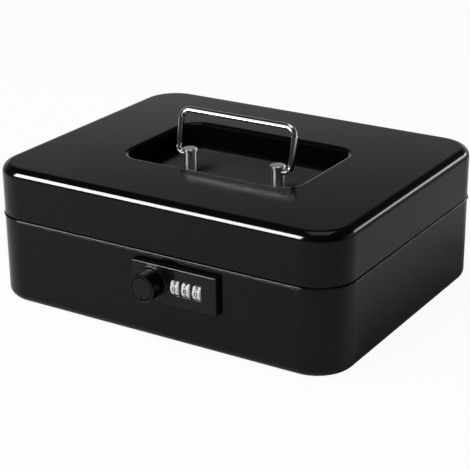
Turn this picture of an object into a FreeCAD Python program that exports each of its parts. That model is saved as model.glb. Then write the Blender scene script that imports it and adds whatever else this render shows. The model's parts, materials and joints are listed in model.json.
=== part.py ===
import FreeCAD, Part
import math
import os
import Sketcher
from FreeCAD import Placement, Rotation, Vector

# Steel cash box with a folding bail handle and a three-wheel combination lock.
# Frame: X to the right along the front, Y to the back, Z up, origin at the middle of the underside.
# The rest pose is lid closed and unlocked, with the bail leaning back a little.

doc = FreeCAD.newDocument("cash_box")
sheet = doc.addObject("Spreadsheet::Sheet", "Sizes")
driving = []
sub_parts = []
TOUCH = 1e-4
HALF_ROOT = math.sqrt(0.5)


class Size:
    """A length in millimetres that also carries the sheet expression it comes from."""

    def __init__(self, number, text):
        self.number = number
        self.text = text

    def joined(self, other, sign, number):
        return Size(number, f"({self.text} {sign} {as_size(other).text})")

    def __add__(self, other):
        return self.joined(other, "+", self.number + as_size(other).number)

    def __radd__(self, other):
        return as_size(other) + self

    def __sub__(self, other):
        return self.joined(other, "-", self.number - as_size(other).number)

    def __rsub__(self, other):
        return as_size(other) - self

    def __mul__(self, other):
        return self.joined(other, "*", self.number * as_size(other).number)

    def __rmul__(self, other):
        return as_size(other) * self

    def __truediv__(self, other):
        return self.joined(other, "/", self.number / as_size(other).number)

    def __neg__(self):
        return as_size(0) - self


def as_size(value):
    return value if isinstance(value, Size) else Size(value, repr(value))


def root(value):
    return Size(math.sqrt(value.number), f"sqrt({value.text})")


def drive(alias, number):
    """Puts one driving dimension on the sheet."""
    row = len(driving) + 1
    sheet.set(f"A{row}", alias)
    sheet.set(f"B{row}", str(number))
    sheet.setAlias(f"B{row}", alias)
    driving.append(alias)
    return Size(number, f"Sizes.{alias}")


# Sheet-steel box
box_width = drive("box_width", 250)
box_depth = drive("box_depth", 200)
box_height = drive("box_height", 90)
lid_height = drive("lid_height", 33)
seam_gap = drive("seam_gap", 0.4)
corner_radius = drive("corner_radius", 25)
sheet_steel = drive("sheet_steel", 0.8)
edge_round = drive("edge_round", 6)
rim_height = drive("rim_height", 7)
lid_gap = drive("lid_gap", 0.5)
bead_proud = drive("bead_proud", 0.6)
bead_height = drive("bead_height", 1.8)
bead_edge_size = drive("bead_edge_size", 0.54)

# Handle well, posts and bail
well_width = drive("well_width", 125)
well_breadth = drive("well_breadth", 82)
well_drop = drive("well_drop", 17)
well_corner = drive("well_corner", 14)
well_slope = drive("well_slope", 12)
well_lip_round = drive("well_lip_round", 4.5)
well_floor_bevel = drive("well_floor_bevel", 3)
post_spacing = drive("post_spacing", 66)
post_forward = drive("post_forward", 6)
post_radius = drive("post_radius", 4.2)
post_head_radius = drive("post_head_radius", 4.9)
post_head_height = drive("post_head_height", 2)
post_top_drop = drive("post_top_drop", 0.6)
post_edge = drive("post_edge", 0.5)
post_foot_height = drive("post_foot_height", 3)
post_groove = drive("post_groove", 0.4)
stud_radius = drive("stud_radius", 2.5)
stud_spare = drive("stud_spare", 0.7)
nut_radius = drive("nut_radius", 4.6)
nut_height = drive("nut_height", 3)
pivot_drop = drive("pivot_drop", 5)
wire_radius = drive("wire_radius", 2)
bail_width = drive("bail_width", 84)
bail_rise = drive("bail_rise", 29)
bail_bend = drive("bail_bend", 6)
foot_bend = drive("foot_bend", 4)
foot_seat = drive("foot_seat", 3.6)
bail_lean = drive("bail_lean", 12)

# Hinges
hinge_spacing = drive("hinge_spacing", 150)
hinge_length = drive("hinge_length", 40)
knuckle_radius = drive("knuckle_radius", 2.4)
hinge_pin_radius = drive("hinge_pin_radius", 1.2)
leaf_steel = drive("leaf_steel", 0.8)
leaf_height = drive("leaf_height", 17)
notch_clear = drive("notch_clear", 0.6)
running_clear = drive("running_clear", 0.05)
knuckle_clear = drive("knuckle_clear", 0.2)

# Lock plate and number wheels
lock_x = drive("lock_x", 18.7)
lock_drop = drive("lock_drop", 12)
plate_width = drive("plate_width", 60)
plate_height = drive("plate_height", 24.2)
plate_thickness = drive("plate_thickness", 4)
plate_face = drive("plate_face", 0.8)
plate_edge = drive("plate_edge", 0.5)
wheel_offset = drive("wheel_offset", 9.4)
wheel_pitch = drive("wheel_pitch", 7.7)
wheel_radius = drive("wheel_radius", 5.6)
wheel_width = drive("wheel_width", 5.2)
axle_inset = drive("axle_inset", 1)
wheel_groove = drive("wheel_groove", 0.45)
wheel_clear = drive("wheel_clear", 0.4)
window_width = drive("window_width", 5.8)
window_clear = drive("window_clear", 0.18)
cheek = drive("cheek", 2)
axle_radius = drive("axle_radius", 0.8)
axle_bite = drive("axle_bite", 1.6)
sleeve_radius = drive("sleeve_radius", 1.9)
flange_radius = drive("flange_radius", 2.8)
flange_clear = drive("flange_clear", 0.2)

# Knob, spindle, latch and strike
knob_offset = drive("knob_offset", 15)
knob_radius = drive("knob_radius", 9)
knob_reach = drive("knob_reach", 11.5)
knob_edge = drive("knob_edge", 0.5)
knob_ring = drive("knob_ring", 7.2)
knob_mark = drive("knob_mark", 0.4)
collar_radius = drive("collar_radius", 11)
collar_height = drive("collar_height", 1.4)
knob_clear = drive("knob_clear", 0.3)
spindle_radius = drive("spindle_radius", 2.5)
spindle_square = drive("spindle_square", 3.4)
spindle_thread = drive("spindle_thread", 1.7)
bush_radius = drive("bush_radius", 4)
throw = drive("throw", 1.84)
eccentric_radius = drive("eccentric_radius", 5.5)
eccentric_thickness = drive("eccentric_thickness", 1.5)
yoke_clear = drive("yoke_clear", 0.15)
yoke_frame = drive("yoke_frame", 1.5)
fence_steel = drive("fence_steel", 1.2)
fence_clear = drive("fence_clear", 0.4)
fence_tooth = drive("fence_tooth", 1.5)
comb_height = drive("comb_height", 2.5)
tooth_short = drive("tooth_short", 0.2)
cam_steel = drive("cam_steel", 1.4)
cam_hub = drive("cam_hub", 5.5)
cam_reach = drive("cam_reach", 16)
cam_end = drive("cam_end", 3.2)
cam_pin = drive("cam_pin", 1.5)
cam_gap = drive("cam_gap", 0.2)
cam_thread = drive("cam_thread", 4.2)
cam_nut_radius = drive("cam_nut_radius", 3.9)
cam_nut_height = drive("cam_nut_height", 2.4)
strike_steel = drive("strike_steel", 1)
strike_gap = drive("strike_gap", 0.3)
strike_lip = drive("strike_lip", 4.2)
strike_web = drive("strike_web", 7.5)
strike_flange = drive("strike_flange", 15)
strike_slot = drive("strike_slot", 5.8)
strike_rise = drive("strike_rise", 2)

# Lock case and its small parts
case_spare = drive("case_spare", 2.2)
case_wall = drive("case_wall", 1.2)
case_ear = drive("case_ear", 5.6)
ear_thickness = drive("ear_thickness", 2)
lock_screw_radius = drive("lock_screw_radius", 1.25)
lock_screw_head = drive("lock_screw_head", 2.1)
lock_screw_height = drive("lock_screw_height", 1.5)
lock_screw_bite = drive("lock_screw_bite", 2.6)
lock_screw_inset = drive("lock_screw_inset", 1.9)
spring_steel = drive("spring_steel", 0.4)
spring_finger = drive("spring_finger", 3.6)

# Coin tray and the strips it rests on
tray_gap = drive("tray_gap", 6.2)
tray_front = drive("tray_front", 80)
tray_height = drive("tray_height", 33)
tray_top_drop = drive("tray_top_drop", 2)
tray_corner = drive("tray_corner", 4)
tray_wall = drive("tray_wall", 1.8)
cup_length = drive("cup_length", 72)
cup_scoop = drive("cup_scoop", 18)
note_scoop = drive("note_scoop", 5)
rest_length = drive("rest_length", 120)
rest_reach = drive("rest_reach", 12)
rest_foot = drive("rest_foot", 9)
rest_steel = drive("rest_steel", 0.8)
CUPS = 5
NOTE_WELLS = 2
DIGITS = 10
WHEELS = 3

doc.recompute()

# Sizes shared by several pieces. Forward sizes are distances from the middle towards the front.
half_depth = box_depth / 2
seam_height = box_height - lid_height
lock_z = seam_height - lock_drop - wheel_radius
inner_width = box_width - 2 * sheet_steel
inner_depth = box_depth - 2 * sheet_steel
rim_width = inner_width - 2 * lid_gap
rim_depth = inner_depth - 2 * lid_gap
rim_corner = corner_radius - sheet_steel - lid_gap
rim_top = seam_height + rim_height
lid_bottom = seam_height + seam_gap
wall_inside = half_depth - sheet_steel
inner_bevel = 0.68 * (edge_round - sheet_steel)
well_floor = box_height - well_drop
pivot_height = box_height - pivot_drop
hinge_y = half_depth + knuckle_radius - sheet_steel
hinge_z = seam_height + seam_gap + seam_gap / 2
notch_width = hinge_length + 2 * notch_clear
plate_front = half_depth + plate_thickness
axle_forward = wall_inside + axle_inset
window_reach = plate_front - plate_face - axle_forward
window_height = 2 * (root(wheel_radius * wheel_radius - window_reach * window_reach) + window_clear)
wheels_x = lock_x + wheel_offset
knob_x = lock_x - knob_offset
pin_hole_radius = hinge_pin_radius + running_clear
spindle_hole = spindle_radius + running_clear
wheel_gap = wheel_pitch - wheel_width
bank_left = wheels_x - wheel_pitch - wheel_width / 2 - 2 * flange_clear
bank_right = wheels_x + wheel_pitch + wheel_width / 2 + wheel_gap
bank_width = bank_right - bank_left
bank_x = (bank_left + bank_right) / 2
axle_length = bank_width + 2 * axle_bite
bank_height = 2 * (wheel_radius + wheel_clear)
boss_width = bank_width + 2 * cheek
boss_height = bank_height + 2 * plate_face
screw_spread = plate_width / 2 - lock_screw_inset
fence_front = wall_inside - fence_clear
fence_back = fence_front - fence_steel
fence_travel = 2 * HALF_ROOT * throw
comb_bottom = lock_z + wheel_radius + flange_clear
comb_top = comb_bottom + comb_height
tooth_length = wheel_radius - tooth_short
yoke_half_width = eccentric_radius + throw + fence_clear + yoke_frame
case_depth = wheel_radius + case_spare
case_back = wall_inside - case_depth
cam_front = case_back - cam_gap
cam_back = cam_front - cam_steel
strike_front = cam_back - strike_gap
strike_back = strike_front - strike_steel
tray_half_width = rim_width / 2 - sheet_steel - tray_gap
tray_back = rim_depth / 2 - sheet_steel - tray_gap
tray_top = rim_top - tray_top_drop
tray_bottom = tray_top - tray_height
rest_drop = (tray_bottom - rest_foot) / 2


def bind(item, name, value):
    """Ties a property of an object to the sheet."""
    item.setExpression(name, as_size(value).text)


def new_body(name):
    body = doc.addObject("PartDesign::Body", name)
    body.Label = name
    sub_parts.append(body)
    return body


def place(item, x=0, y=0, z=0):
    for axis, value in zip("xyz", (x, y, z)):
        bind(item, f"Placement.Base.{axis}", value)


def origin_of(body, role):
    return next(f for f in body.Origin.OriginFeatures if f.Role == role)


def sketch_on(body, role, x=0, y=0, z=0, turn=0):
    """A sketch on one of the body's own planes, moved by x and y in it and by z along its normal."""
    sketch = body.newObject("Sketcher::SketchObject", body.Label + "_sketch")
    sketch.AttachmentSupport = (origin_of(body, role), "")
    sketch.MapMode = "FlatFace"
    at = [as_size(v) for v in (x, y, z)]
    sketch.AttachmentOffset = Placement(Vector(*[v.number for v in at]), Rotation(Vector(0, 0, 1), turn))
    for axis, value in zip("xyz", at):
        bind(sketch, f"AttachmentOffset.Base.{axis}", value)
    return sketch


def plan(body, z, x=0, y=0):
    return sketch_on(body, "XY_Plane", x, y, z)


def elevation(body, forward, x=0, z=0):
    """A sketch seen from the front, at a distance forward of the middle. Pads go on forward."""
    return sketch_on(body, "XZ_Plane", x, z, forward)


def section(body, x, y=0, z=0, turn=0):
    """A sketch seen from the right, with Y along it and Z up. Pads go towards +X."""
    return sketch_on(body, "YZ_Plane", y, z, x, turn)


def dimension(sketch, kind, *refs_and_size):
    *refs, size = refs_and_size
    size = as_size(size)
    index = sketch.addConstraint(Sketcher.Constraint(kind, *refs, size.number))
    sketch.setExpression(f"Constraints[{index}]", size.text)


def relate(sketch, kind, *refs):
    sketch.addConstraint(Sketcher.Constraint(kind, *refs))


def line(sketch, x1, y1, x2, y2):
    return sketch.addGeometry(Part.LineSegment(Vector(x1, y1), Vector(x2, y2)), False)


def arc(sketch, x, y, radius, quarter):
    """A quarter circle, counted from the right: 0 is the upper right one."""
    round_edge = Part.Circle(Vector(x, y), Vector(0, 0, 1), radius)
    start = quarter * math.pi / 2
    return sketch.addGeometry(Part.ArcOfCircle(round_edge, start, start + math.pi / 2), False)


def rounded_rectangle(sketch, width, height, radius):
    """A rectangle with round corners about the sketch's origin."""
    x, y, r = width.number / 2, height.number / 2, radius.number
    bottom = line(sketch, r - x, -y, x - r, -y)
    bottom_right = arc(sketch, x - r, r - y, r, 3)
    right = line(sketch, x, r - y, x, y - r)
    top_right = arc(sketch, x - r, y - r, r, 0)
    top = line(sketch, x - r, y, r - x, y)
    top_left = arc(sketch, r - x, y - r, r, 1)
    left = line(sketch, -x, y - r, -x, r - y)
    bottom_left = arc(sketch, r - x, r - y, r, 2)
    loop = [bottom, bottom_right, right, top_right, top, top_left, left, bottom_left]
    for a, b in zip(loop, loop[1:] + loop[:1]):
        relate(sketch, "Tangent", a, 2, b, 1)
    for side in (bottom, top):
        relate(sketch, "Horizontal", side)
    for side in (left, right):
        relate(sketch, "Vertical", side)
    for corner in (top_right, top_left):
        relate(sketch, "Equal", bottom_right, corner)
    relate(sketch, "Symmetric", bottom_left, 3, top_right, 3, -1, 1)
    dimension(sketch, "DistanceX", left, 1, right, 2, width)
    dimension(sketch, "DistanceY", bottom, 1, top, 2, height)
    dimension(sketch, "Radius", bottom_right, radius)
    return sketch


def polygon(sketch, points):
    """A closed outline of straight sides through the given corners."""
    corners = [(as_size(x), as_size(y)) for x, y in points]
    ends = corners[1:] + corners[:1]
    sides = [line(sketch, a.number, b.number, c.number, d.number) for (a, b), (c, d) in zip(corners, ends)]
    for a, b in zip(sides, sides[1:] + sides[:1]):
        relate(sketch, "Coincident", a, 2, b, 1)
    for side, (x, y) in zip(sides, corners):
        dimension(sketch, "DistanceX", -1, 1, side, 1, x)
        dimension(sketch, "DistanceY", -1, 1, side, 1, y)
    return sketch


def rectangle(sketch, left, bottom, right, top):
    return polygon(sketch, [(left, bottom), (right, bottom), (right, top), (left, top)])


def centred(sketch, width, height):
    return rectangle(sketch, -width / 2, -height / 2, width / 2, height / 2)


def circle(sketch, radius, x=0, y=0):
    x, y, radius = as_size(x), as_size(y), as_size(radius)
    middle = Vector(x.number, y.number)
    ring = sketch.addGeometry(Part.Circle(middle, Vector(0, 0, 1), radius.number), False)
    dimension(sketch, "DistanceX", -1, 1, ring, 3, x)
    dimension(sketch, "DistanceY", -1, 1, ring, 3, y)
    dimension(sketch, "Radius", ring, radius)
    return sketch


def pad(body, sketch, length, reverse=False, taper=None):
    feature = body.newObject("PartDesign::Pad", body.Label + "_pad")
    feature.Profile = sketch
    bind(feature, "Length", length)
    feature.Reversed = reverse
    if taper is not None:
        bind(feature, "TaperAngle", taper)
    doc.recompute()
    return feature


def pocket(body, sketch, depth, reverse=False, taper=None):
    """Cuts the sketch into the body, and stops if it cuts nothing."""
    before = body.Tip.Shape.Volume
    feature = body.newObject("PartDesign::Pocket", body.Label + "_pocket")
    feature.Profile = sketch
    bind(feature, "Length", depth)
    feature.Reversed = reverse
    if taper is not None:
        bind(feature, "TaperAngle", taper)
    doc.recompute()
    if feature.Shape.Volume >= before - TOUCH:
        raise ValueError(f"a pocket in {body.Label} cuts nothing")
    return feature


def revolve(body, sketch, role):
    feature = body.newObject("PartDesign::Revolution", body.Label + "_turned")
    feature.Profile = sketch
    feature.ReferenceAxis = (origin_of(body, role), [""])
    feature.Angle = 360
    doc.recompute()
    return feature


def round_edges(body, wanted, radius, kind="Fillet"):
    """Fillets or chamfers the edges of the body that the test wants."""
    base = body.Tip
    names = [f"Edge{i}" for i, edge in enumerate(base.Shape.Edges, 1) if wanted(edge.BoundBox)]
    if not names:
        raise ValueError(f"no edges to round in {body.Label}")
    feature = body.newObject(f"PartDesign::{kind}", body.Label + "_round")
    feature.Base = (base, names)
    bind(feature, "Radius" if kind == "Fillet" else "Size", radius)
    doc.recompute()
    return feature


def pattern(body, kind, feature, role, occurrences, **sizes):
    """Repeats a feature along or about one of the body's own axes."""
    repeat = body.newObject(f"PartDesign::{kind}", body.Label + "_pattern")
    repeat.Originals = [feature]
    setattr(repeat, "Axis" if kind == "PolarPattern" else "Direction", (origin_of(body, role), [""]))
    repeat.Occurrences = occurrences
    for name, value in sizes.items():
        bind(repeat, name, value)
    body.Tip = repeat
    doc.recompute()
    return repeat


def level(box, z):
    """Whether an edge lies flat at the height z."""
    return box.ZLength < TOUCH and abs(box.ZMin - as_size(z).number) < TOUCH


def hinge_sides():
    return (("left", -hinge_spacing / 2), ("right", hinge_spacing / 2))


def body_shell():
    """Drawn box: a step under the rim takes the lid, and a rolled bead goes round below the step."""
    body = new_body("body_shell")
    pad(body, rounded_rectangle(plan(body, 0), box_width, box_depth, corner_radius), seam_height)
    bead = plan(body, seam_height - bead_height)
    bead_width = box_width + 2 * bead_proud
    bead_depth = box_depth + 2 * bead_proud
    pad(body, rounded_rectangle(bead, bead_width, bead_depth, corner_radius + bead_proud), bead_height)
    outer = (box_width.number / 2, box_depth.number / 2)

    def bead_edge(box):
        reach = max(box.XMax, -box.XMin) > outer[0] + TOUCH or max(box.YMax, -box.YMin) > outer[1] + TOUCH
        return reach and box.ZLength < TOUCH

    round_edges(body, bead_edge, bead_edge_size, "Chamfer")
    pad(body, rounded_rectangle(plan(body, seam_height), rim_width, rim_depth, rim_corner), rim_height)
    mouth = plan(body, rim_top)
    mouth_width = rim_width - 2 * sheet_steel
    rounded_rectangle(mouth, mouth_width, rim_depth - 2 * sheet_steel, rim_corner - sheet_steel)
    pocket(body, mouth, rim_height + sheet_steel)
    hollow = plan(body, seam_height - sheet_steel)
    rounded_rectangle(hollow, inner_width, inner_depth, corner_radius - sheet_steel)
    pocket(body, hollow, seam_height - 2 * sheet_steel)
    round_edges(body, lambda box: level(box, sheet_steel), inner_bevel, "Chamfer")
    round_edges(body, lambda box: level(box, 0), edge_round)
    for _, x in hinge_sides():
        notch = elevation(body, -(rim_depth / 2 - 2 * sheet_steel), x)
        low = hinge_z - knuckle_radius - notch_clear
        rectangle(notch, -notch_width / 2, low, notch_width / 2, rim_top + 1)
        pocket(body, notch, 2 * knuckle_radius)
    opening = elevation(body, half_depth + sheet_steel, 0, lock_z)
    half_height = boss_height / 2 + knob_clear
    rectangle(
        opening,
        bank_x - boss_width / 2 - knob_clear,
        -half_height,
        bank_x + boss_width / 2 + knob_clear,
        half_height,
    )
    circle(opening, bush_radius + running_clear, knob_x)
    for side in (-1, 1):
        circle(opening, lock_screw_radius + running_clear, lock_x + side * screw_spread)
    pocket(body, opening, 3 * sheet_steel)


def lid_shell():
    """Drawn lid with a sunk well for the handle."""
    body = new_body("lid_shell")
    top_inside = box_height - sheet_steel
    outline = rounded_rectangle(plan(body, lid_bottom), box_width, box_depth, corner_radius)
    pad(body, outline, box_height - lid_bottom)
    hollow = plan(body, lid_bottom)
    rounded_rectangle(hollow, inner_width, inner_depth, corner_radius - sheet_steel)
    pocket(body, hollow, top_inside - lid_bottom, reverse=True)
    round_edges(body, lambda box: level(box, top_inside), inner_bevel, "Chamfer")
    round_edges(body, lambda box: level(box, box_height), edge_round)
    cup = plan(body, box_height)
    cup_width = well_width + 2 * sheet_steel
    rounded_rectangle(cup, cup_width, well_breadth + 2 * sheet_steel, well_corner + sheet_steel)
    pad(body, cup, well_drop + sheet_steel, reverse=True, taper=-well_slope)
    well = plan(body, box_height)
    pocket(body, rounded_rectangle(well, well_width, well_breadth, well_corner), well_drop, taper=-well_slope)
    reach = well_width.number / 2 + 2 * sheet_steel.number

    def by_the_well(box):
        return max(box.XMax, -box.XMin) < reach

    round_edges(body, lambda box: level(box, top_inside) and by_the_well(box), well_lip_round / 2, "Chamfer")
    round_edges(body, lambda box: level(box, box_height) and by_the_well(box), well_lip_round)
    round_edges(body, lambda box: level(box, well_floor), well_floor_bevel, "Chamfer")
    for _, x in hinge_sides():
        notch = elevation(body, -(wall_inside - sheet_steel), x)
        top = hinge_z + knuckle_radius + notch_clear
        rectangle(notch, -notch_width / 2, lid_bottom - 1, notch_width / 2, top)
        pocket(body, notch, 3 * sheet_steel)
    stud_holes = plan(body, well_floor + 1)
    for side in (-1, 1):
        circle(stud_holes, stud_radius, side * post_spacing / 2, -post_forward)
    pocket(body, stud_holes, 1 + 2 * sheet_steel)


def handle_post(name, side):
    """A turned post with a head, a groove over its foot and a stud that goes through the well floor."""
    body = new_body(name)
    place(body, side * post_spacing / 2, -post_forward, 0)
    top = box_height - post_top_drop
    stud_end = well_floor - sheet_steel - nut_height - stud_spare
    foot_top = well_floor + post_foot_height
    profile = polygon(
        elevation(body, 0),
        [
            (0, stud_end),
            (stud_radius, stud_end),
            (stud_radius, well_floor),
            (post_radius, well_floor),
            (post_radius, foot_top),
            (post_radius - post_groove, foot_top),
            (post_radius - post_groove, foot_top + post_groove),
            (post_radius, foot_top + post_groove),
            (post_radius, top - post_head_height),
            (post_head_radius, top - post_head_height),
            (post_head_radius, top - post_edge),
            (post_head_radius - post_edge, top),
            (0, top),
        ],
    )
    revolve(body, profile, "Z_Axis")
    socket = section(body, 0, 0, pivot_height)
    circle(socket, wire_radius + running_clear)
    pocket(body, socket, 2 * post_radius, reverse=side > 0)


def post_nuts():
    z = well_floor - sheet_steel - nut_height
    sides = (-post_spacing / 2, post_spacing / 2)
    group("post_nuts", [hex_nut(nut_radius, stud_radius, nut_height, x, -post_forward, z) for x in sides])


def cylinder(radius, height):
    item = doc.addObject("Part::Cylinder", "round_bar")
    bind(item, "Radius", radius)
    bind(item, "Height", height)
    return item


def cut(base, tool):
    item = doc.addObject("Part::Cut", "cut")
    item.Base = base
    item.Tool = tool
    return item


def group(name, members):
    item = doc.addObject("Part::Compound", name)
    item.Label = name
    item.Links = members
    sub_parts.append(item)
    return item


def hex_nut(outer, inner, height, x, y, z):
    prism = doc.addObject("Part::Prism", "hexagon")
    prism.Polygon = 6
    bind(prism, "Circumradius", outer)
    bind(prism, "Height", height)
    item = cut(prism, cylinder(inner, height))
    place(item, x, y, z)
    return item


def handle_bail():
    """One bent wire: a foot in each post, two legs and the bar."""
    body = new_body("handle_bail")
    body.Placement = Placement(Vector(), Rotation(Vector(-1, 0, 0), bail_lean.number))
    place(body, 0, -post_forward, pivot_height)
    bind(body, "Placement.Rotation.Angle", bail_lean)
    foot_x = post_spacing / 2 + post_radius - foot_seat
    leg_x = bail_width / 2
    path = elevation(body, 0)
    foot, leg, rise = foot_x.number, leg_x.number, bail_rise.number
    small, large = foot_bend.number, bail_bend.number
    wire = [
        line(path, foot, 0, leg - small, 0),
        arc(path, leg - small, small, small, 3),
        line(path, leg, small, leg, rise - large),
        arc(path, leg - large, rise - large, large, 0),
        line(path, leg - large, rise, large - leg, rise),
        arc(path, large - leg, rise - large, large, 1),
        line(path, -leg, rise - large, -leg, small),
        arc(path, small - leg, small, small, 2),
        line(path, small - leg, 0, -foot, 0),
    ]
    for a, b in zip(wire, wire[1:]):
        relate(path, "Tangent", a, 2, b, 1)
    for flat in (wire[0], wire[4], wire[8]):
        relate(path, "Horizontal", flat)
    for upright in (wire[2], wire[6]):
        relate(path, "Vertical", upright)
    relate(path, "PointOnObject", wire[0], 1, -1)
    relate(path, "Symmetric", wire[0], 1, wire[8], 2, -2)
    relate(path, "Equal", wire[0], wire[8])
    relate(path, "Equal", wire[1], wire[7])
    relate(path, "Equal", wire[3], wire[5])
    dimension(path, "DistanceX", -1, 1, wire[0], 1, foot_x)
    dimension(path, "DistanceX", -1, 1, wire[2], 1, leg_x)
    dimension(path, "DistanceY", -1, 1, wire[4], 1, bail_rise)
    dimension(path, "Radius", wire[1], foot_bend)
    dimension(path, "Radius", wire[3], bail_bend)
    outline = circle(section(body, foot_x), wire_radius)
    doc.recompute()
    pipe = body.newObject("PartDesign::AdditivePipe", "bail_wire")
    pipe.Profile = outline
    pipe.Spine = (path, [])
    doc.recompute()


def hinge_leaf(name, x, on_lid):
    """A leaf inside the back wall, whose necks pass through the notch to its knuckles."""
    body = new_body(name)
    inside = wall_inside - leaf_steel
    if on_lid:
        neck_bottom = hinge_z + knuckle_radius - leaf_steel
        plate_low, plate_high = neck_bottom, neck_bottom + leaf_height
    else:
        neck_bottom = hinge_z - knuckle_radius
        plate_high = neck_bottom + leaf_steel
        plate_low = plate_high - leaf_height
    plate = section(body, x - hinge_length / 2)
    rectangle(plate, inside, plate_low, wall_inside, plate_high)
    pad(body, plate, hinge_length)
    third = hinge_length / 3
    if on_lid:
        knuckles = [(x - third / 2 + knuckle_clear, third - 2 * knuckle_clear)]
    else:
        knuckles = [(x - hinge_length / 2, third), (x + third / 2, third)]
    for start, length in knuckles:
        neck = section(body, start)
        rectangle(neck, inside, neck_bottom, hinge_y, neck_bottom + leaf_steel)
        pad(body, neck, length)
        pad(body, circle(section(body, start), knuckle_radius, hinge_y, hinge_z), length)
    bore = circle(section(body, x + hinge_length / 2), pin_hole_radius, hinge_y, hinge_z)
    pocket(body, bore, hinge_length)


def hinge_pin(name, x):
    pin = cylinder(hinge_pin_radius, hinge_length)
    pin.Label = name
    pin.Placement = Placement(Vector(), Rotation(Vector(0, 1, 0), 90))
    place(pin, x - hinge_length / 2, hinge_y, hinge_z)
    sub_parts.append(pin)


def lock_plate():
    """Die-cast plate with windows, a cavity for the wheels behind them and cheeks for the axle."""
    body = new_body("lock_plate")
    outline = centred(elevation(body, half_depth, lock_x, lock_z), plate_width, plate_height)
    pad(body, outline, plate_thickness)
    front = -plate_front.number
    round_edges(body, lambda box: box.YMax < front + TOUCH, plate_edge, "Chamfer")
    pad(body, circle(elevation(body, plate_front, knob_x, lock_z), collar_radius), collar_height)
    top = front - collar_height.number
    round_edges(body, lambda box: box.YMax < top + TOUCH, plate_edge, "Chamfer")
    pad(body, centred(elevation(body, wall_inside, bank_x, lock_z), boss_width, boss_height), sheet_steel)
    pad(body, circle(elevation(body, wall_inside, knob_x, lock_z), bush_radius), sheet_steel)
    cavity = centred(elevation(body, wall_inside, bank_x, lock_z), bank_width, bank_height)
    pocket(body, cavity, plate_thickness + sheet_steel - plate_face, reverse=True)
    window = elevation(body, plate_front, wheels_x - wheel_pitch, lock_z)
    first = pocket(body, centred(window, window_width, window_height), 2 * plate_face)
    pattern(body, "LinearPattern", first, "X_Axis", WHEELS, Length=(WHEELS - 1) * wheel_pitch)
    bore = circle(elevation(body, plate_front + 2 * collar_height, knob_x, lock_z), spindle_hole)
    pocket(body, bore, plate_thickness + 3 * collar_height)
    axle_seat = centred(elevation(body, wall_inside, bank_x, lock_z), axle_length, 2 * axle_radius)
    pocket(body, axle_seat, axle_forward - wall_inside, reverse=True)
    axle_bore = circle(section(body, bank_right + axle_bite), axle_radius, -axle_forward, lock_z)
    pocket(body, axle_bore, axle_length)
    screw_holes = elevation(body, half_depth, lock_x, lock_z)
    for side in (-1, 1):
        circle(screw_holes, lock_screw_radius, side * screw_spread)
    pocket(body, screw_holes, lock_screw_bite, reverse=True)


def wheel_axle():
    axle = cylinder(axle_radius, axle_length)
    axle.Label = "wheel_axle"
    axle.Placement = Placement(Vector(), Rotation(Vector(0, 1, 0), 90))
    place(axle, bank_left - axle_bite, -axle_forward, lock_z)
    sub_parts.append(axle)


def wheel_left(index):
    return wheels_x + (index - 1) * wheel_pitch - wheel_width / 2


def dial_wheel(index):
    """A number wheel with a groove between each pair of figures."""
    body = new_body(f"dial_wheel_{index + 1}")
    place(body, wheel_left(index), -axle_forward, lock_z)
    face = section(body, 0)
    circle(face, wheel_radius)
    circle(face, sleeve_radius + running_clear)
    pad(body, face, wheel_width)
    between = 180 + 180 / DIGITS
    groove = section(body, wheel_width, turn=between)
    edge = wheel_radius + wheel_groove
    polygon(groove, [(wheel_radius - wheel_groove, 0), (edge, -2 * wheel_groove), (edge, 2 * wheel_groove)])
    first = pocket(body, groove, wheel_width)
    pattern(body, "PolarPattern", first, "X_Axis", DIGITS)


def code_sleeve(index):
    """A sleeve that its wheel turns on, with a flange whose gate takes a tooth of the fence."""
    body = new_body(f"code_sleeve_{index + 1}")
    place(body, wheel_left(index), -axle_forward, lock_z)
    pad(body, circle(section(body, -flange_clear), sleeve_radius), wheel_width + 2 * flange_clear)
    flange_thickness = wheel_gap - 2 * flange_clear
    pad(body, circle(section(body, wheel_width + flange_clear), flange_radius), flange_thickness)
    end = wheel_width + flange_clear + flange_thickness
    pocket(body, circle(section(body, end), axle_radius + running_clear), 2 * end)
    gate = section(body, end)
    gate_front = axle_forward - fence_front - fence_clear
    gate_back = axle_forward - fence_back + fence_clear
    gate_floor = comb_bottom - lock_z - tooth_length - fence_clear
    rectangle(gate, gate_front, gate_floor, gate_back, flange_radius + 1)
    pocket(body, gate, flange_thickness)


def fence_bar():
    """A plate with a yoke round the eccentric and a comb of teeth that stand in the gates."""
    body = new_body("fence_bar")
    yoke_z = lock_z - HALF_ROOT * throw
    window_half = eccentric_radius + yoke_clear
    yoke_bottom = yoke_z - window_half - yoke_frame
    yoke = elevation(body, fence_back)
    rectangle(yoke, knob_x - yoke_half_width, yoke_bottom, knob_x + yoke_half_width, comb_top)
    pad(body, yoke, fence_steel)
    comb = elevation(body, fence_back)
    rectangle(comb, knob_x, comb_bottom, bank_right + fence_clear / 2, comb_top)
    pad(body, comb, fence_steel)
    hole = elevation(body, fence_front, knob_x, yoke_z)
    centred(hole, 2 * (yoke_half_width - yoke_frame), 2 * window_half)
    pocket(body, hole, fence_steel)
    tooth_x = wheel_left(0) + wheel_width + wheel_gap / 2
    tooth = elevation(body, fence_back, tooth_x)
    rectangle(tooth, -fence_tooth / 2, comb_bottom - tooth_length, fence_tooth / 2, comb_top)
    first = pad(body, tooth, fence_steel)
    pattern(body, "LinearPattern", first, "X_Axis", WHEELS, Length=(WHEELS - 1) * wheel_pitch)


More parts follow.
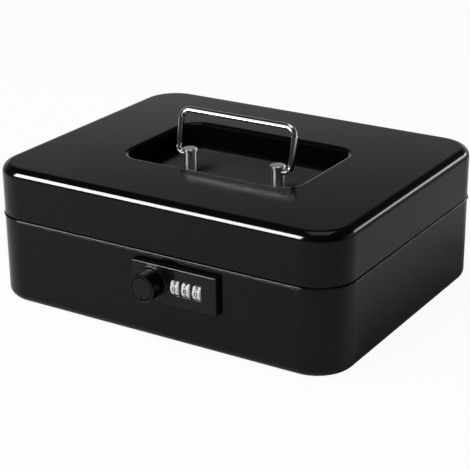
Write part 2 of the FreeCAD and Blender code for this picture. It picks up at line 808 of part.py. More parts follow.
def lock_case():
    """Housing behind the front wall, open to it, with an ear for a screw at each end."""
    body = new_body("lock_case")
    left = knob_x - yoke_half_width - fence_clear
    right = bank_right + 2 * fence_clear
    low = lock_z - eccentric_radius - throw - yoke_frame - fence_clear
    high = comb_top + fence_travel + fence_clear
    outer = elevation(body, case_back)
    rectangle(outer, left - case_wall, low - case_wall, right + case_wall, high + case_wall)
    pad(body, outer, case_depth)
    hollow = elevation(body, wall_inside)
    rectangle(hollow, left, low, right, high)
    pocket(body, hollow, case_depth - case_wall)
    ears = elevation(body, wall_inside - ear_thickness, 0, lock_z)
    for side, inner in ((-1, left - case_wall), (1, right + case_wall)):
        end = lock_x + side * (screw_spread + case_ear / 2)
        rectangle(ears, min_of(inner, end), -case_ear / 2, max_of(inner, end), case_ear / 2)
    pad(body, ears, ear_thickness)
    holes = elevation(body, wall_inside, lock_x, lock_z)
    for side in (-1, 1):
        circle(holes, lock_screw_radius + running_clear, side * screw_spread)
    pocket(body, holes, ear_thickness)
    guide_front = fence_back - fence_clear
    guide = elevation(body, case_back + case_wall)
    rectangle(guide, left, low, left + yoke_frame, high)
    rectangle(guide, right - yoke_frame, comb_top, right, high)
    pad(body, guide, guide_front - case_back - case_wall)
    pad(body, circle(elevation(body, case_back + case_wall, knob_x, lock_z), bush_radius), case_wall)
    bearing = circle(elevation(body, case_back + 2 * case_wall, knob_x, lock_z), spindle_hole)
    pocket(body, bearing, 2 * case_wall)


def min_of(a, b):
    return a if a.number < b.number else b


def max_of(a, b):
    return b if a.number < b.number else a


def lock_screws():
    screws = []
    for side in (-1, 1):
        x = lock_x + side * screw_spread
        shank = cylinder(lock_screw_radius, ear_thickness + sheet_steel + lock_screw_bite - running_clear)
        head = cylinder(lock_screw_head, lock_screw_height)
        bind(head, "Placement.Base.z", -lock_screw_height)
        screw = doc.addObject("Part::Fuse", "screw")
        screw.Base = head
        screw.Tool = shank
        screw.Placement = Placement(Vector(), Rotation(Vector(1, 0, 0), 90))
        place(screw, x, ear_thickness - wall_inside, lock_z)
        screws.append(screw)
    group("lock_screws", screws)


def detent_spring():
    """A strip on the back of the case with a bent finger behind each wheel."""
    body = new_body("detent_spring")
    back = case_back + case_wall
    strip_front = back + spring_steel
    nose = axle_forward - wheel_radius - flange_clear
    top = lock_z + wheel_radius
    strip = section(body, bank_left + flange_clear)
    rectangle(strip, -strip_front, top - wheel_radius / 2, -back, top)
    pad(body, strip, bank_width - 2 * flange_clear)
    finger = section(body, wheel_left(0) + (wheel_width - spring_finger) / 2)
    tip = lock_z - wheel_radius / 2
    polygon(
        finger,
        [
            (-strip_front, top - wheel_radius / 2),
            (-nose, lock_z + spring_steel),
            (-nose, lock_z - spring_steel),
            (1 - nose, tip),
            (1 - nose + spring_steel, tip),
            (spring_steel - nose, lock_z - spring_steel),
            (spring_steel - nose, lock_z + spring_steel),
            (-back, top - wheel_radius / 2),
        ],
    )
    first = pad(body, finger, spring_finger)
    pattern(body, "LinearPattern", first, "X_Axis", WHEELS, Length=(WHEELS - 1) * wheel_pitch)


def lock_knob():
    """A turned knob with a ring and a pointer mark sunk in its face."""
    body = new_body("lock_knob")
    place(body, knob_x, 0, lock_z)
    base = plate_front + collar_height + knob_clear
    face = plate_front + knob_reach
    socket_end = face - knob_reach / 3
    profile = polygon(
        section(body, 0),
        [
            (-base, spindle_hole),
            (-base, knob_radius),
            (knob_edge - face, knob_radius),
            (-face, knob_radius - knob_edge),
            (-face, knob_ring + knob_mark),
            (knob_mark - face, knob_ring),
            (-face, knob_ring - knob_mark),
            (-face, 0),
            (-socket_end, 0),
            (-socket_end, spindle_hole),
        ],
    )
    revolve(body, profile, "Y_Axis")
    mark = elevation(body, face)
    rectangle(mark, -knob_mark, 1.5 * knob_mark - knob_ring, knob_mark, 9 * knob_mark - knob_ring)
    pocket(body, mark, knob_mark)


def knob_spindle():
    """The knob's shaft: its eccentric moves the fence, its square turns the latch cam."""
    body = new_body("knob_spindle")
    place(body, knob_x, 0, lock_z)
    shaft_end = plate_front + knob_reach * 2 / 3
    pad(body, circle(elevation(body, cam_front), spindle_radius), shaft_end - cam_front)
    disc_front = wall_inside - fence_clear / 2
    disc = circle(
        elevation(body, disc_front - eccentric_thickness),
        eccentric_radius,
        HALF_ROOT * throw,
        -HALF_ROOT * throw,
    )
    pad(body, disc, eccentric_thickness)
    pad(body, centred(elevation(body, cam_back), spindle_square, spindle_square), cam_steel)
    pad(body, circle(elevation(body, cam_back - cam_thread), spindle_thread), cam_thread)


def latch_cam():
    """An arm on the spindle's square with a pin at its end for the strike."""
    body = new_body("latch_cam")
    place(body, knob_x, 0, lock_z)
    pad(body, circle(elevation(body, cam_back), cam_hub), cam_steel)
    arm = elevation(body, cam_back)
    polygon(arm, [(0, -cam_hub), (cam_reach, -cam_end), (cam_reach, cam_end), (0, cam_hub)])
    pad(body, arm, cam_steel)
    pad(body, circle(elevation(body, cam_back), cam_end, cam_reach), cam_steel)
    pin_length = strike_gap + strike_steel + cam_pin
    pad(body, circle(elevation(body, cam_back - pin_length), cam_pin, cam_reach), pin_length)
    pocket(body, centred(elevation(body, cam_front), spindle_square, spindle_square), cam_steel)


def cam_nut():
    bore = spindle_thread + running_clear
    nut = hex_nut(cam_nut_radius, bore, cam_nut_height, knob_x, -cam_back, lock_z)
    nut.Label = "cam_nut"
    nut.Placement = Placement(Vector(), Rotation(Vector(1, 0, 0), -90))
    sub_parts.append(nut)


def strike_plate():
    """A bracket inside the lid: a flange on its front wall, a shelf over the rim and a hook."""
    body = new_body("strike_plate")
    shelf_low = rim_top + strike_rise
    shelf_high = shelf_low + strike_steel
    lip_top = lock_z + cam_reach - cam_pin - strike_gap
    left = knob_x - strike_web - cam_pin
    right = knob_x + cam_pin
    profile = polygon(
        section(body, left),
        [
            (-wall_inside, shelf_high + strike_flange),
            (strike_steel - wall_inside, shelf_high + strike_flange),
            (strike_steel - wall_inside, shelf_high),
            (-strike_back, shelf_high),
            (-strike_back, lip_top - strike_lip),
            (-strike_front, lip_top - strike_lip),
            (-strike_front, shelf_low),
            (-wall_inside, shelf_low),
        ],
    )
    pad(body, profile, right - left)
    slot = elevation(body, strike_front + strike_gap / 2)
    rectangle(slot, knob_x - 2 * cam_pin, lip_top, right + 1, lip_top + strike_slot)
    pocket(body, slot, strike_steel + strike_gap)


def scoop(sketch, front, back, low, high, radius):
    """The side view of a cup whose floor curves up at the front and the back."""
    f, b, z, top, r = (v.number for v in (front, back, low, high, radius))
    down = line(sketch, f, top, f, z + r)
    near = arc(sketch, f + r, z + r, r, 2)
    floor = line(sketch, f + r, z, b - r, z)
    far = arc(sketch, b - r, z + r, r, 3)
    up = line(sketch, b, z + r, b, top)
    mouth = line(sketch, b, top, f, top)
    sides = [down, near, floor, far, up, mouth]
    for a, c in zip(sides[:4], sides[1:5]):
        relate(sketch, "Tangent", a, 2, c, 1)
    relate(sketch, "Coincident", up, 2, mouth, 1)
    relate(sketch, "Coincident", mouth, 2, down, 1)
    for flat in (floor, mouth):
        relate(sketch, "Horizontal", flat)
    for upright in (down, up):
        relate(sketch, "Vertical", upright)
    relate(sketch, "Equal", near, far)
    dimension(sketch, "DistanceX", -1, 1, down, 1, front)
    dimension(sketch, "DistanceY", -1, 1, down, 1, high)
    dimension(sketch, "DistanceX", -1, 1, up, 2, back)
    dimension(sketch, "DistanceY", -1, 1, floor, 1, low)
    dimension(sketch, "Radius", near, radius)
    return sketch


def coin_tray():
    """A moulded tray with a row of scooped coin cups in front and note wells behind."""
    body = new_body("coin_tray")
    depth = tray_back + tray_front
    outline = plan(body, tray_bottom, 0, (tray_back - tray_front) / 2)
    pad(body, rounded_rectangle(outline, 2 * tray_half_width, depth, tray_corner), tray_top - tray_bottom)
    cup_front = tray_wall - tray_front
    note_front = cup_front + cup_length + tray_wall
    rows = (
        (CUPS, cup_front, cup_front + cup_length, cup_scoop),
        (NOTE_WELLS, note_front, tray_back - tray_wall, note_scoop),
    )
    for count, front, back, radius in rows:
        width = (2 * tray_half_width - (count + 1) * tray_wall) / count
        cup = section(body, tray_wall - tray_half_width)
        scoop(cup, front, back, tray_bottom + tray_wall, tray_top, radius)
        first = pocket(body, cup, width, reverse=True)
        pattern(body, "LinearPattern", first, "X_Axis", count, Length=(count - 1) * (width + tray_wall))


def tray_rest(name, side):
    """An angle strip on the side wall."""
    body = new_body(name)
    wall = inner_width / 2
    profile = polygon(
        elevation(body, -rest_length / 2 - (tray_back - tray_front) / 2),
        [
            (side * wall, tray_bottom),
            (side * (wall - rest_reach), tray_bottom),
            (side * (wall - rest_reach), tray_bottom - rest_steel),
            (side * (wall - rest_steel), tray_bottom - rest_steel),
            (side * (wall - rest_steel), tray_bottom - rest_drop),
            (side * wall, tray_bottom - rest_drop),
        ],
    )
    pad(body, profile, rest_length)


def build():
    body_shell()
    lid_shell()
    for name, side in (("left", -1), ("right", 1)):
        handle_post(f"handle_post_{name}", side)
        tray_rest(f"tray_rest_{name}", side)
    post_nuts()
    handle_bail()
    for name, x in hinge_sides():
        hinge_leaf(f"hinge_leaf_base_{name}", x, on_lid=False)
        hinge_leaf(f"hinge_leaf_lid_{name}", x, on_lid=True)
        hinge_pin(f"hinge_pin_{name}", x)
    lock_plate()
    wheel_axle()
    for index in range(WHEELS):
        dial_wheel(index)
        code_sleeve(index)
    fence_bar()
    lock_case()
    lock_screws()
    detent_spring()
    lock_knob()
    knob_spindle()
    latch_cam()
    cam_nut()
    strike_plate()
    coin_tray()


def write():
    doc.recompute()
    failed = [o.Label for o in doc.Objects if {"Invalid", "Error"} & set(o.State)]
    failed += [p.Label for p in sub_parts if p.Shape.isNull() or not p.Shape.isValid() or not p.Shape.Solids]
    if failed:
        raise ValueError(f"these did not build: {failed}")
    os.makedirs("parts", exist_ok=True)
    for piece in sub_parts:
        piece.Shape.exportStep(f"parts/{piece.Label}.step")


build()
write()
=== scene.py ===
import json
import math

import bmesh
import bpy
from mathutils import Matrix, Vector

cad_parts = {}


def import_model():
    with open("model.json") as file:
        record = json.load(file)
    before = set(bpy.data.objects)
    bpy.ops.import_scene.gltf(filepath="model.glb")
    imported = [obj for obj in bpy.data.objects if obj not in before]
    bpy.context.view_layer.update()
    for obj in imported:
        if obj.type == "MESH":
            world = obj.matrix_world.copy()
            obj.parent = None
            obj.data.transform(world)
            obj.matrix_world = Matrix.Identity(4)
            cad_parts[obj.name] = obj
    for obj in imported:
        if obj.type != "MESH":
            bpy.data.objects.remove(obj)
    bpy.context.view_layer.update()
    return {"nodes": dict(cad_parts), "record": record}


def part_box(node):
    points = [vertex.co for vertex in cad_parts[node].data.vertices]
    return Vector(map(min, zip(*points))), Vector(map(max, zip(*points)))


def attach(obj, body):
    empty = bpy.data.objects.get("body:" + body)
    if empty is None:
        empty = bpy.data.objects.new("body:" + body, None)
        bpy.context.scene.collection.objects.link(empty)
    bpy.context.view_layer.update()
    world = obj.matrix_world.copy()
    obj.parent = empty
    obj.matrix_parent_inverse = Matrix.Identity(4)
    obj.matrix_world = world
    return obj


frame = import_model()
nodes = frame["nodes"]
rows = frame["record"]["subparts"]
MM = 0.001


def mixed(tree, factor, first, second):
    """Two colours, each a socket or plain, mixed by a factor."""
    node = tree.nodes.new("ShaderNodeMix")
    node.data_type = "RGBA"
    sockets = {s.identifier: s for s in node.inputs}
    tree.links.new(factor, sockets["Factor_Float"])
    for name, colour in (("A_Color", first), ("B_Color", second)):
        if isinstance(colour, bpy.types.NodeSocket):
            tree.links.new(colour, sockets[name])
        else:
            sockets[name].default_value = (*colour, 1)
    return next(s for s in node.outputs if s.identifier == "Result_Color")


class Finish:
    """A procedural material put together node by node.

    Patterns sit in the part's own frame, in metres.
    """

    # Likeness of the soft normal to the true one, on the flats and at the edges.
    ON_FLAT, AT_EDGE = 0.995, 0.86

    def __init__(self, name):
        self.material = bpy.data.materials.new(name)
        self.material.use_nodes = True
        self.tree = self.material.node_tree
        self.surface = self.tree.nodes["Principled BSDF"]
        coordinates = self.add("ShaderNodeTexCoord")
        self.place = coordinates.outputs["Object"]
        self.facing = coordinates.outputs["Normal"]

    def add(self, kind, **settings):
        node = self.tree.nodes.new(kind)
        for name, value in settings.items():
            setattr(node, name, value)
        return node

    def fill(self, socket, value):
        """Links a socket to another one, or sets it to a plain value."""
        if isinstance(value, bpy.types.NodeSocket):
            self.tree.links.new(value, socket)
        else:
            socket.default_value = value

    def set(self, node, **values):
        for name, value in values.items():
            self.fill(node.inputs[name.replace("_", " ")], value)
        return node

    def stretched(self, along):
        """The pattern's place, squeezed or drawn out along X, Y and Z."""
        mapping = self.add("ShaderNodeMapping")
        self.set(mapping, Vector=self.place, Scale=along)
        return mapping.outputs["Vector"]

    def noise(self, size, detail=4, roughness=0.55, place=None):
        """Cloudy noise whose blotches are about size metres wide."""
        node = self.add("ShaderNodeTexNoise")
        place = place or self.place
        self.set(node, Vector=place, Scale=1 / size, Detail=detail, Roughness=roughness)
        return node.outputs["Fac"]

    def between(self, value, low, high, start=0.3, end=0.7):
        """The value, from start to end, as a number from low to high."""
        node = self.add("ShaderNodeMapRange")
        self.set(node, Value=value, From_Min=start, From_Max=end, To_Min=low, To_Max=high)
        return node.outputs["Result"]

    def blend(self, factor, first, second):
        return mixed(self.tree, factor, first, second)

    def joined(self, operation, *values):
        """Numbers taken together by one step of arithmetic."""
        node = self.add("ShaderNodeMath", operation=operation)
        for socket, value in zip(node.inputs, values):
            self.fill(socket, value)
        return node.outputs["Value"]

    def along(self, axis, vector=None):
        """One coordinate of the pattern's place, or of another vector."""
        split = self.add("ShaderNodeSeparateXYZ")
        self.fill(split.inputs["Vector"], vector or self.place)
        return split.outputs[axis]

    def within(self, axis, start, end, fade):
        """1 between two places on an axis, and 0 outside, with a soft step at both."""
        place = self.along(axis)
        rise = self.between(place, 0.0, 1.0, start - fade, start)
        fall = self.between(place, 1.0, 0.0, end, end + fade)
        return self.joined("MULTIPLY", rise, fall)

    def dot(self, first, second):
        node = self.add("ShaderNodeVectorMath", operation="DOT_PRODUCT")
        self.fill(node.inputs[0], first)
        self.fill(node.inputs[1], second)
        return node.outputs["Value"]

    def inward(self, centre, start, end):
        """From 0 to 1 over the surfaces that face a centre, by how far in front of them it lies."""
        away = self.add("ShaderNodeVectorMath", operation="SUBTRACT")
        self.fill(away.inputs[0], self.place)
        self.fill(away.inputs[1], centre)
        facing = self.dot(away.outputs["Vector"], self.facing)
        return self.between(facing, 0.0, 1.0, -start, -end)

    def rounded(self, width):
        """A normal that turns softly over the sharp edges."""
        return self.set(self.add("ShaderNodeBevel", samples=8), Radius=width).outputs["Normal"]

    def edges(self, soft, low=0.0, high=1.0):
        """From low on the flats to high along the edges, which the soft normal shows."""
        geometry = self.add("ShaderNodeNewGeometry")
        likeness = self.dot(soft, geometry.outputs["Normal"])
        return self.between(likeness, low, high, start=self.ON_FLAT, end=self.AT_EDGE)

    def bump(self, height, depth, strength=1.0, under=None):
        node = self.add("ShaderNodeBump")
        self.set(node, Height=height, Distance=depth, Strength=strength)
        if under is not None:
            self.set(node, Normal=under)
        return node.outputs["Normal"]

    def wear(self, **values):
        self.set(self.surface, **values)
        return self


def grey(value, warm=0.0):
    return (value * (1 + warm), value, value * (1 - warm))


# Where the enamel is dull, in metres: what faces the middle of the box, and the floor of the well,
# which also gets a painted grey in place of the light it catches.
BOX_MIDDLE = (0, 0, 0.045)
INNER_START, INNER_END = 0.0, 0.004
WELL_HALF_X, WELL_HALF_Y, WELL_FADE = 0.064, 0.044, 0.003
WELL_FLOOR_LOW, WELL_FLOOR_HIGH, WELL_FLOOR_FADE = 0.0729, 0.0733, 0.0012
DULL_ROUGHNESS = 0.35


def enamel():
    """Powder coat: near black, with a fine orange peel and polished edges.

    It is thin and dull inside the box and on the walls of the handle's well. The well's floor is
    dull too, and painted a lighter grey as painted light, standing in for the light the floor
    catches.
    """
    made = Finish("enamel")
    soft = made.rounded(0.0002)
    peel = made.bump(made.noise(0.0011, 2), 0.000004, 0.5, soft)
    inner = made.inward(BOX_MIDDLE, INNER_START, INNER_END)
    across = made.joined(
        "MULTIPLY",
        made.within("X", -WELL_HALF_X, WELL_HALF_X, WELL_FADE),
        made.within("Y", -WELL_HALF_Y, WELL_HALF_Y, WELL_FADE),
    )
    level = made.within("Z", WELL_FLOOR_LOW, WELL_FLOOR_HIGH, WELL_FLOOR_FADE)
    # The well's floor: painted light, a lighter grey base in place of the light the floor catches.
    floor = made.joined("MULTIPLY", across, level)
    dull = made.joined("MAXIMUM", inner, floor)
    coat = made.blend(made.noise(0.012, 5), grey(0.0018), grey(0.0032))
    polish = made.between(made.noise(0.03, 6), 0.09, 0.13)
    gloss = made.edges(soft, 0.2, 0.28)
    return made.wear(
        Base_Color=made.blend(floor, coat, grey(0.045)),
        Roughness=made.joined("ADD", polish, made.joined("MULTIPLY", dull, DULL_ROUGHNESS)),
        Specular_IOR_Level=made.joined("MULTIPLY", gloss, made.between(dull, 1.0, 0.0, 0.0, 1.0)),
        Normal=peel,
    )


def chrome():
    """Bright plating with faint smears and polishing lines."""
    made = Finish("chrome")
    smear = made.noise(0.006, 6, 0.65)
    lines = made.noise(0.0012, 3, place=made.stretched((0.15, 1, 1)))
    return made.wear(
        Base_Color=made.blend(smear, grey(0.84, -0.004), grey(0.9, -0.004)),
        Metallic=1.0,
        Roughness=made.between(smear, 0.02, 0.05),
        Normal=made.bump(lines, 0.000002, 0.25),
    )


def turned_chrome():
    """Plated posts: fine tool rings round the upright axis spread the shine up and down."""
    made = Finish("turned_chrome")
    smear = made.noise(0.002, 5)
    rings = made.add("ShaderNodeTangent", direction_type="RADIAL", axis="Z")
    return made.wear(
        Base_Color=made.blend(smear, grey(0.8), grey(0.88)),
        Metallic=1.0,
        Roughness=made.between(smear, 0.28, 0.33),
        Anisotropic=1.0,
        Anisotropic_Rotation=0.25,
        Tangent=rings.outputs["Tangent"],
    )


def lock_black():
    """Painted die casting: a fine sanded grain, dull on top where dust lies, with worn edges."""
    made = Finish("lock_black")
    grain = made.noise(0.0005, 3)
    soft = made.rounded(0.0004)
    return made.wear(
        Base_Color=made.blend(made.edges(soft), grey(0.006), grey(0.012)),
        Roughness=made.between(made.noise(0.004, 5), 0.14, 0.2),
        Specular_IOR_Level=made.between(made.along("Z", soft), 0.24, 0.0, 0.65, 0.9),
        Normal=made.bump(grain, 0.000004, 0.4, soft),
    )


def knob_black():
    """Moulded black plastic, glossy round the side. Painted light: the face, which looks to the
    front, is painted a lighter grey, and the side is painted near black.
    """
    made = Finish("knob_black")
    scratch = made.noise(0.0006, 4, place=made.stretched((1, 1, 0.08)))
    soft = made.rounded(0.0004)
    # Painted light: surfaces that face the front are painted lighter grey, and those that turn away
    # near black.
    front_painted_light = made.between(made.along("Y", soft), 0.0, 1.0, -0.8, -0.97)
    face = made.blend(made.noise(0.005), grey(0.012), grey(0.018))
    return made.wear(
        Base_Color=made.blend(front_painted_light, grey(0.002), face),
        Roughness=made.between(made.noise(0.003, 6), 0.24, 0.34),
        Specular_IOR_Level=made.edges(soft, 0.14, 0.2),
        Normal=made.bump(scratch, 0.000003, 0.3),
    )


def wheel_white():
    """Moulded white plastic, a little grey where it is handled."""
    made = Finish("wheel_white")
    soil = made.noise(0.0025, 5)
    return made.wear(
        Base_Color=made.blend(soil, (0.94, 0.94, 0.93), (0.85, 0.85, 0.83)),
        Roughness=made.between(made.noise(0.0016, 4), 0.3, 0.45),
        Normal=made.bump(made.noise(0.0005, 3), 0.000006, 0.3),
    )


def figure_ink():
    """Black paint on the figures, with thin patches."""
    made = Finish("figure_ink")
    return made.wear(
        Base_Color=made.blend(made.noise(0.0007, 4), grey(0.006), grey(0.016)),
        Roughness=made.between(made.noise(0.0004, 3), 0.4, 0.6),
        Normal=made.bump(made.noise(0.0002, 2), 0.000004, 0.3),
    )


def brass():
    """Turned brass with tool rings and a light tarnish."""
    made = Finish("brass")
    tarnish = made.noise(0.003, 6)
    rings = made.noise(0.0003, 2, place=made.stretched((3, 0.4, 0.4)))
    return made.wear(
        Base_Color=made.blend(tarnish, (0.72, 0.54, 0.27), (0.58, 0.42, 0.2)),
        Metallic=1.0,
        Roughness=made.between(tarnish, 0.22, 0.38),
        Normal=made.bump(rings, 0.000006, 0.4),
    )


def steel():
    """Zinc-plated pressings: a brushed grain with cloudy patches and bright edges."""
    made = Finish("steel")
    cloud = made.noise(0.004, 6)
    brushed = made.noise(0.0004, 3, place=made.stretched((0.05, 1, 1)))
    worn = made.edges(made.rounded(0.0003), 0.34, 0.2)
    return made.wear(
        Base_Color=made.blend(cloud, (0.5, 0.51, 0.53), (0.64, 0.64, 0.63)),
        Metallic=1.0,
        Roughness=worn,
        Normal=made.bump(brushed, 0.000006, 0.35),
    )


def moulded(name, dark, light, low, high):
    """Matt moulded plastic, spark-eroded, from dark to light and of low to high roughness."""
    made = Finish(name)
    grain = made.noise(0.0007, 3)
    cast = made.bump(made.noise(0.02, 3), 0.00003, 0.3)
    return made.wear(
        Base_Color=made.blend(made.noise(0.01, 5), grey(dark), grey(light)),
        Roughness=made.between(made.noise(0.006, 5), low, high),
        Specular_IOR_Level=made.edges(made.rounded(0.0006), 0.35, 0.5),
        Normal=made.bump(grain, 0.00002, 0.5, cast),
    )


finishes = {
    "enamel": enamel(),
    "chrome": chrome(),
    "lock_black": lock_black(),
    "knob_black": knob_black(),
    "wheel_white": wheel_white(),
    "brass": brass(),
    "steel": steel(),
    "case_black": moulded("case_black", 0.012, 0.02, 0.5, 0.65),
    "tray_black": moulded("tray_black", 0.014, 0.022, 0.42, 0.56),
}
ink = figure_ink()
# Pieces whose finish differs from the rest of their slot.
own_finishes = dict.fromkeys(("handle_post_left", "handle_post_right"), turned_chrome())

# Width of the rounding on the sharp edges of each finish, in millimetres. At 0 they stay sharp,
# because on those pieces the cut round small details comes out as spikes.
EDGE_ROUND = {
    "enamel": 0.12,
    "chrome": 0.25,
    "lock_black": 0,
    "knob_black": 0,
    "wheel_white": 0.12,
    "brass": 0.12,
    "steel": 0.12,
    "case_black": 0.3,
    "tray_black": 0.5,
}
WELD_DISTANCE = 1e-6
FLAT_ANGLE = math.radians(0.4)
SHARP_ANGLE = math.radians(30)
ROUND_SEGMENTS = 2
SHADING_WEIGHT = 80


def dress(piece, material):
    piece.data.materials.clear()
    piece.data.materials.append(material)
    for face in piece.data.polygons:
        face.use_smooth = True


def soften(piece, width):
    """Shades a piece smoothly, with its sharp edges rounded by width, or left sharp at 0.

    Modifiers do it, so the piece's own mesh doesn't change.
    """
    weld = piece.modifiers.new("weld", "WELD")
    weld.merge_threshold = WELD_DISTANCE
    flat = piece.modifiers.new("flat", "DECIMATE")
    flat.decimate_type = "DISSOLVE"
    flat.angle_limit = FLAT_ANGLE
    if not width:
        split = piece.modifiers.new("split", "EDGE_SPLIT")
        split.split_angle = SHARP_ANGLE
        return
    rounded = piece.modifiers.new("rounded", "BEVEL")
    rounded.limit_method = "ANGLE"
    rounded.angle_limit = SHARP_ANGLE
    rounded.width = width
    rounded.segments = ROUND_SEGMENTS
    rounded.use_clamp_overlap = False
    shading = piece.modifiers.new("shading", "WEIGHTED_NORMAL")
    shading.weight = SHADING_WEIGHT


for row in rows:
    piece = nodes[row["node"]]
    slot = row["material_slot"]
    dress(piece, own_finishes.get(row["node"], finishes[slot]).material)
    soften(piece, EDGE_ROUND[slot] * MM)


def piece_from(mesh, name, material, body):
    piece = bpy.data.objects.new(name, mesh)
    bpy.context.scene.collection.objects.link(piece)
    dress(piece, material)
    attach(piece, body)
    return piece


# The figures on the wheels: the one that shows on each wheel, and their sizes in millimetres.
FIGURES_SHOWN = ((1, 0), (2, 8), (3, 0))
FIGURES_ROUND = 10
FIGURE_TALL = 2.8
FIGURE_WIDEN = 1.3
FIGURE_PROUD = 0.03
FIGURE_SUNK = 0.2
FIGURE_SLICES = 8
# How bold the figures are, as far as all ten stay clean meshes, and how finely they are drawn.
FIGURE_BOLD = 0.02
FIGURE_RESOLUTION = 5
MERGE_OUTLINE = 0.01
MERGE_SLICES = 0.004
SLICE_SNAP = 0.002


def figure(text, height):
    """A flat mesh of one figure, centred, with the given height."""
    curve = bpy.data.curves.new("figure", "FONT")
    curve.body = text
    curve.resolution_u = FIGURE_RESOLUTION
    curve.offset = FIGURE_BOLD
    probe = bpy.data.objects.new("figure", curve)
    bpy.context.scene.collection.objects.link(probe)
    bpy.context.view_layer.update()
    drawn = probe.evaluated_get(bpy.context.evaluated_depsgraph_get())
    mesh = bpy.data.meshes.new_from_object(drawn)
    bpy.data.objects.remove(probe)
    bpy.data.curves.remove(curve)
    across = [v.co.x for v in mesh.vertices]
    up = [v.co.y for v in mesh.vertices]
    scale = height / (max(up) - min(up))
    middle = Vector(((max(across) + min(across)) / 2, (max(up) + min(up)) / 2, 0))
    mesh.transform(Matrix.Scale(scale, 4) @ Matrix.Translation(-middle))
    return mesh


def sliced_figure(text):
    """A flat figure cut across into slices, so that it can be bent."""
    mesh = figure(text, FIGURE_TALL)
    flat = bmesh.new()
    flat.from_mesh(mesh)
    bpy.data.meshes.remove(mesh)
    bmesh.ops.remove_doubles(flat, verts=flat.verts, dist=MERGE_OUTLINE)
    for step in range(1, FIGURE_SLICES):
        bmesh.ops.bisect_plane(
            flat,
            geom=flat.verts[:] + flat.edges[:] + flat.faces[:],
            dist=SLICE_SNAP,
            plane_co=Vector((0, FIGURE_TALL * (step / FIGURE_SLICES - 0.5), 0)),
            plane_no=(0, 1, 0),
        )
    bmesh.ops.remove_doubles(flat, verts=flat.verts, dist=MERGE_SLICES)
    return flat


def wheel_figures(index, shown):
    """The figures round one wheel, bent to it. The shown one faces the front."""
    low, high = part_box(f"dial_wheel_{index}")
    centre = (low + high) / 2
    radius = (high.z - low.z) / 2 / MM
    whole = bmesh.new()
    for count in range(FIGURES_ROUND):
        solid = sliced_figure(str((shown + count) % FIGURES_ROUND))
        raised = bmesh.ops.extrude_face_region(solid, geom=solid.faces[:])
        tops = {v for v in raised["geom"] if isinstance(v, bmesh.types.BMVert)}
        turn = math.radians(360 / FIGURES_ROUND) * count
        for vert in solid.verts:
            away = radius + (FIGURE_PROUD if vert in tops else -FIGURE_SUNK)
            angle = vert.co.y / radius - turn
            across = vert.co.x * FIGURE_WIDEN
            bent = Vector((across, -away * math.cos(angle), away * math.sin(angle)))
            vert.co = centre + bent * MM
        bmesh.ops.recalc_face_normals(solid, faces=solid.faces)
        one = bpy.data.meshes.new("bent")
        solid.to_mesh(one)
        solid.free()
        whole.from_mesh(one)
        bpy.data.meshes.remove(one)
    mesh = bpy.data.meshes.new(f"figures_{index}")
    whole.to_mesh(mesh)
    whole.free()
    piece_from(mesh, f"figures_{index}", ink.material, f"dial_{index}")
    for face in mesh.polygons:
        face.use_smooth = False


for index, shown in FIGURES_SHOWN:
    wheel_figures(index, shown)


def lamp(name, at, aim, size, radiance, diffuse=True, glossy=True, falls_on=()):
    """A softbox of the given width and height that looks this bright.

    It falls on some pieces only, where they are given.
    """
    data = bpy.data.lights.new(name, "AREA")
    data.shape = "RECTANGLE"
    data.size, data.size_y = size
    data.energy = radiance * math.pi * size[0] * size[1]
    item = bpy.data.objects.new(name, data)
    bpy.context.scene.collection.objects.link(item)
    item.location = at
    item.rotation_euler = (Vector(aim) - Vector(at)).to_track_quat("-Z", "Y").to_euler()
    item.visible_diffuse = diffuse
    item.visible_glossy = glossy
    if falls_on:
        group = bpy.data.collections.new(name)
        for piece in falls_on:
            group.objects.link(piece)
        item.light_linking.receiver_collection = group


# The floor lies just under the box, so that the two don't share a plane.
FLOOR_REACH = 6
FLOOR_DROP = 0.0002
FLOOR_COLOUR = (0.9, 0.9, 0.9, 1)
# How much of what the camera sees of the floor is plain white. The rest keeps the shadow.
FLOOR_WHITE = 0.95


def stage():
    floor_mesh = bpy.data.meshes.new("floor")
    reach = FLOOR_REACH
    corners = [(-reach, -reach, 0), (reach, -reach, 0), (reach, reach, 0), (-reach, reach, 0)]
    floor_mesh.from_pydata(corners, [], [(0, 1, 2, 3)])
    floor = bpy.data.objects.new("floor", floor_mesh)
    bpy.context.scene.collection.objects.link(floor)
    floor.location.z = -FLOOR_DROP
    material = bpy.data.materials.new("white_floor")
    material.use_nodes = True
    tree = material.node_tree
    tree.nodes.clear()
    add, link = tree.nodes.new, tree.links.new
    matt, lit = add("ShaderNodeBsdfDiffuse"), add("ShaderNodeEmission")
    mix, out = add("ShaderNodeMixShader"), add("ShaderNodeOutputMaterial")
    path, share = add("ShaderNodeLightPath"), add("ShaderNodeMath")
    matt.inputs["Color"].default_value = FLOOR_COLOUR
    lit.inputs["Color"].default_value = (1, 1, 1, 1)
    share.operation = "MULTIPLY"
    share.inputs[1].default_value = FLOOR_WHITE
    link(path.outputs["Is Camera Ray"], share.inputs[0])
    link(share.outputs[0], mix.inputs[0])
    link(matt.outputs[0], mix.inputs[1])
    link(lit.outputs[0], mix.inputs[2])
    link(mix.outputs[0], out.inputs[0])
    floor_mesh.materials.append(material)


# Brightness of the sweep behind the box, by how steeply upward it is seen.
SWEEP = (
    (0.0, 0.8),
    (0.2, 0.6),
    (0.27, 0.46),
    (0.291, 0.38),
    (0.31, 0.28),
    (0.328, 0.2),
    (0.37, 0.16),
    (0.46, 0.06),
    (0.6, 0.02),
)
SWEEP_FROM, SWEEP_FULL = 0.0, 0.5
ROOM = (0.03, 0.03, 0.03)


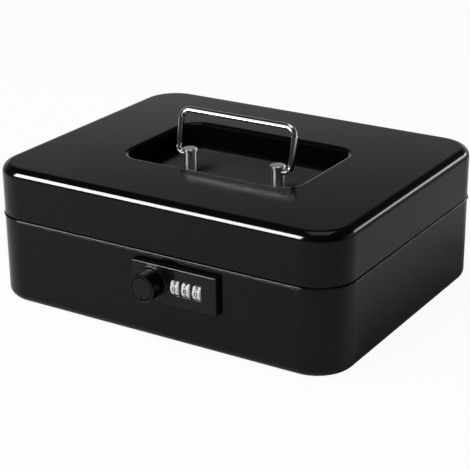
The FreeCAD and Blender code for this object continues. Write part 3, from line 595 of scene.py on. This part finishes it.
def world():
    """White to the camera. To everything else, a bright sweep behind the box, and a dark room."""
    made = bpy.data.worlds.new("studio")
    bpy.context.scene.world = made
    made.use_nodes = True
    tree = made.node_tree
    add, link = tree.nodes.new, tree.links.new
    place, split = add("ShaderNodeTexCoord"), add("ShaderNodeSeparateXYZ")
    path, ramp = add("ShaderNodeLightPath"), add("ShaderNodeValToRGB")
    link(place.outputs["Generated"], split.inputs[0])
    stops = ramp.color_ramp.elements
    first, *inner, last = SWEEP
    stops[0].position, stops[1].position = first[0], last[0]
    stops[0].color, stops[1].color = (*grey(first[1]), 1), (*grey(last[1]), 1)
    for position, value in inner:
        stops.new(position).color = (*grey(value), 1)
    link(split.outputs["Z"], ramp.inputs[0])
    behind = add("ShaderNodeMapRange")
    behind.inputs["From Min"].default_value = SWEEP_FROM
    behind.inputs["From Max"].default_value = SWEEP_FULL
    link(split.outputs["Y"], behind.inputs["Value"])
    room = mixed(tree, behind.outputs["Result"], ROOM, ramp.outputs["Color"])
    seen = mixed(tree, path.outputs["Is Camera Ray"], room, (1, 1, 1))
    link(seen, tree.nodes["Background"].inputs["Color"])


# The camera, fitted to the photograph's edges.
CAMERA_AT = (0.47942, -0.76815, 0.39578)
CAMERA_TARGET = (0.02966, -0.05195, 0.05717)
CAMERA_ROLL = math.radians(-0.548)
CAMERA_SENSOR = 36
CAMERA_LENS = 114.19
CAMERA_FAR = 50


def camera():
    data = bpy.data.cameras.new("camera")
    data.sensor_width = CAMERA_SENSOR
    data.lens = CAMERA_LENS
    data.clip_end = CAMERA_FAR
    item = bpy.data.objects.new("camera", data)
    bpy.context.scene.collection.objects.link(item)
    at, target = Vector(CAMERA_AT), Vector(CAMERA_TARGET)
    look = (target - at).to_track_quat("-Z", "Y").to_matrix().to_4x4()
    item.matrix_world = Matrix.Translation(at) @ look @ Matrix.Rotation(CAMERA_ROLL, 4, "Z")
    bpy.context.scene.camera = item


# Slots whose gloss is weak, so that it needs brighter softboxes than the other pieces do.
GLOSSY_SLOTS = ("enamel", "lock_black")
# Place, aim and size of the front softbox, which has a strength for each group of pieces.
FRONT = ((-0.64, -1.08, 0.65), (0, -0.1, 0.085), (0.9, 0.6))
BACK = ((0.7, 1.12, 0.37), (0.12, 0, 0.09), (0.7, 0.22))


def lights():
    """Key and overhead light everything. The others only show in the gloss of some pieces."""
    coated = [nodes[row["node"]] for row in rows if row["material_slot"] in GLOSSY_SLOTS]
    others = [nodes[row["node"]] for row in rows if row["material_slot"] not in GLOSSY_SLOTS]
    posts = [nodes[name] for name in own_finishes]
    lamp("key", (-0.45, -0.8, 1.1), (0, 0, 0.03), (0.7, 0.7), 8.8, glossy=False)
    lamp("overhead", (0.1, 0.05, 1.3), (0, 0, 0), (0.9, 0.7), 1.6)
    lamp("front_box", *FRONT, 60, diffuse=False, falls_on=coated)
    lamp("front_card", *FRONT, 1.6, diffuse=False, falls_on=others)
    lamp("post_card", *FRONT, 7, diffuse=False, falls_on=posts)
    lamp("back_box", *BACK, 8, diffuse=False, falls_on=coated + posts)


stage()
world()
camera()
lights()
bpy.context.scene.view_settings.view_transform = "Standard"
